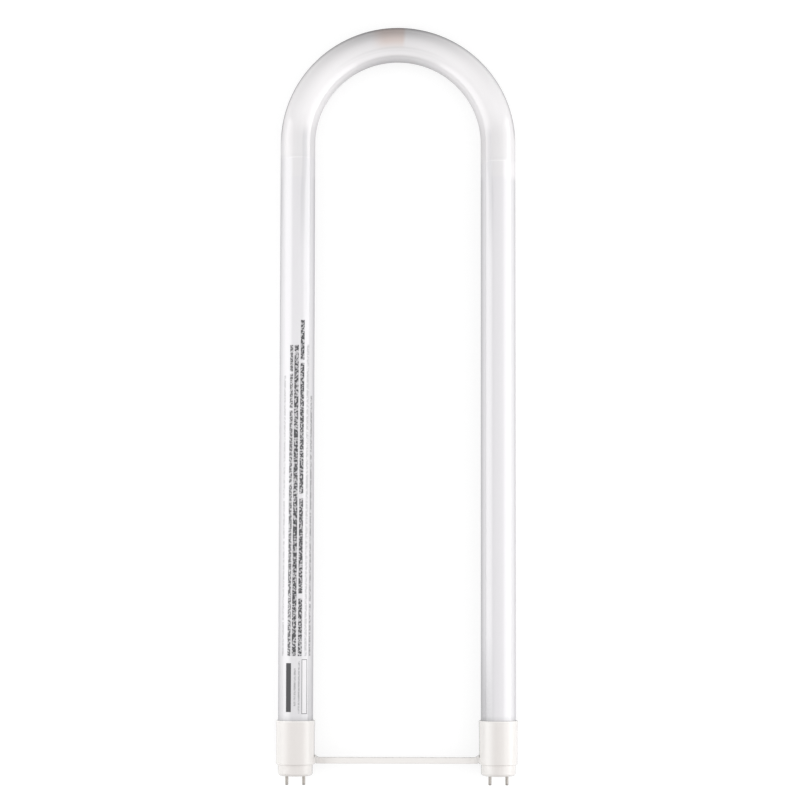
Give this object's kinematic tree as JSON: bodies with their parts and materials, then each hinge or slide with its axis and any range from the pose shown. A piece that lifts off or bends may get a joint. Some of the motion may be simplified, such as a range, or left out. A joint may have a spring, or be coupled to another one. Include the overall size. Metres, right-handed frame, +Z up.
{
  "type": "u-bend led tube",
  "caption": "U-shaped frosted glass LED tube lamp with white moulded sleeves on the leg ends, joined by a spacer bar, and a pin base closing each leg.",
  "frame": {"origin": "on the surface that the lamp lies on, under the middle of its box", "axes": "+X across the legs towards the right leg, +Y along the legs from the pins to the bend, +Z up"},
  "size_m": [0.1818, 0.5739, 0.0294],
  "materials": {
    "frosted_glass": "frosted inside, smooth and glossy outside",
    "bracket_plastic": "smooth moulded, satin gloss",
    "cap_plastic": "smooth moulded, satin gloss",
    "pin_metal": "nickel-plated, dull bright",
    "strip": "white solder mask",
    "led": "white package with yellow phosphor",
    "silicone": "cured white silicone",
    "diffuser_film": "opal film",
    "circuit_board": "green solder mask",
    "ferrite": "matt ferrite core",
    "capacitor_can": "sleeved can",
    "moulded_black": "moulded epoxy",
    "fuse_body": "ceramic body with metal ends",
    "film_block": "dipped block",
    "resistor_body": "lacquered body",
    "header_metal": "tinned",
    "wire_sleeve": "white insulation",
    "amber_tape": "amber insulating tape"
  },
  "bodies": {
    "root": {"glass_tube": "frosted_glass", "leg_bracket": "bracket_plastic", "left_base_cap": "cap_plastic", "right_base_cap": "cap_plastic", "left_outer_pin": "pin_metal", "left_inner_pin": "pin_metal", "right_inner_pin": "pin_metal", "right_outer_pin": "pin_metal", "left_led_board": "strip", "right_led_board": "strip", "left_leds": "led", "right_leds": "led", "left_board_bead": "silicone", "right_board_bead": "silicone", "left_sleeve_bond": "silicone", "right_sleeve_bond": "silicone", "left_diffuser_film": "diffuser_film", "right_diffuser_film": "diffuser_film", "driver_board": "circuit_board", "filament_board": "circuit_board", "driver_choke": "ferrite", "driver_capacitor": "capacitor_can", "driver_rectifier": "moulded_black", "driver_fuse": "fuse_body", "filament_capacitor": "film_block", "filament_resistors": "resistor_body", "left_header_pins": "header_metal", "right_header_pins": "header_metal", "bend_lead": "wire_sleeve", "bend_tape": "amber_tape"}
  },
  "joints": []
}
